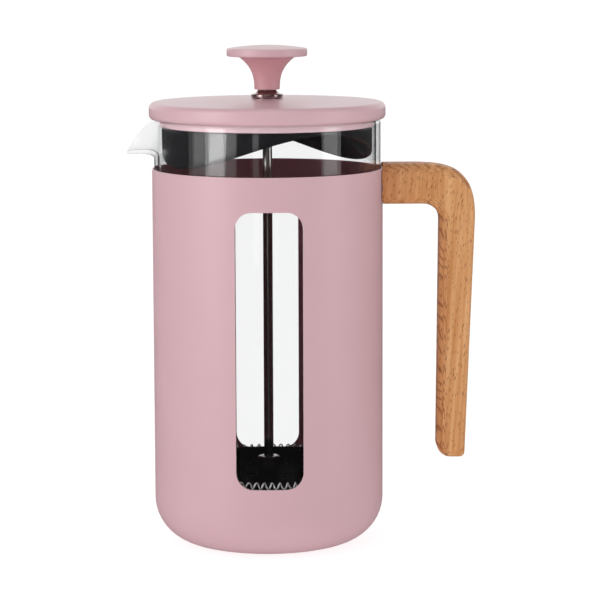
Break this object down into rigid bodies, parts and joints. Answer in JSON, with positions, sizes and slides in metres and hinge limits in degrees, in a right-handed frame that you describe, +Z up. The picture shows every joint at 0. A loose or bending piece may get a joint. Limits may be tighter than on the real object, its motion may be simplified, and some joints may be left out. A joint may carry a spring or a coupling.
{
  "type": "french press",
  "caption": "Flat-lidded coffee press: windowed painted steel sleeve with a wooden handle, a lift-out glass beaker with a beak spout, a turning lid and a sliding plunger with a spring-edged filter.",
  "frame": {"origin": "middle of the sleeve's flat base, on the axis of the sleeve", "axes": "+Z up along the plunger, +X towards the handle, -X towards the spout, -Y the front window"},
  "size_m": [0.1538, 0.1044, 0.2212],
  "materials": {
    "sleeve_paint": "satin dusty pink powder coat",
    "lid_paint": "satin dusty pink, on the cap and the knob",
    "silicone": "matte grey silicone",
    "beech": "oiled beech with short dark flecks",
    "steel": "bright stainless steel",
    "steel_mesh": "fine woven stainless mesh",
    "dark_steel": "polished steel",
    "brass": "turned brass",
    "clear_glass": "clear borosilicate glass",
    "black_plastic": "satin black moulded plastic"
  },
  "bodies": {
    "sleeve_body": {"sleeve": "sleeve_paint", "base_pad": "silicone", "handle": "beech", "handle_screw_front": "steel", "handle_screw_rear": "steel", "handle_insert_front": "brass", "handle_insert_rear": "brass"},
    "beaker": {"glass_beaker": "clear_glass"},
    "lid_guide": {"lid_bush": "dark_steel", "lid_washer": "steel", "lid_nut": "steel"},
    "lid": {"lid_cap": "lid_paint", "lid_skirt": "black_plastic"},
    "plunger": {"knob": "lid_paint", "knob_insert": "brass", "plunger_rod": "steel", "filter_hub": "dark_steel", "spiral_plate": "dark_steel", "edge_spring": "steel", "filter_screen": "steel_mesh", "cross_plate": "steel"}
  },
  "joints": [
    {"name": "beaker_lift", "type": "slide", "parent": "sleeve_body", "child": "beaker", "axis": [0, 0, 1], "range_m": [0, 0.175]},
    {"name": "lid_lift", "type": "slide", "parent": "beaker", "child": "lid_guide", "axis": [0, 0, 1], "range_m": [0, 0.175]},
    {"name": "lid_turn", "type": "hinge", "parent": "lid_guide", "child": "lid", "pos_m": [0, 0, 0.19], "axis": [0, 0, 1], "continuous": true},
    {"name": "plunger_press", "type": "slide", "parent": "lid_guide", "child": "plunger", "axis": [0, 0, 1], "range_m": [0, 0.13]}
  ]
}
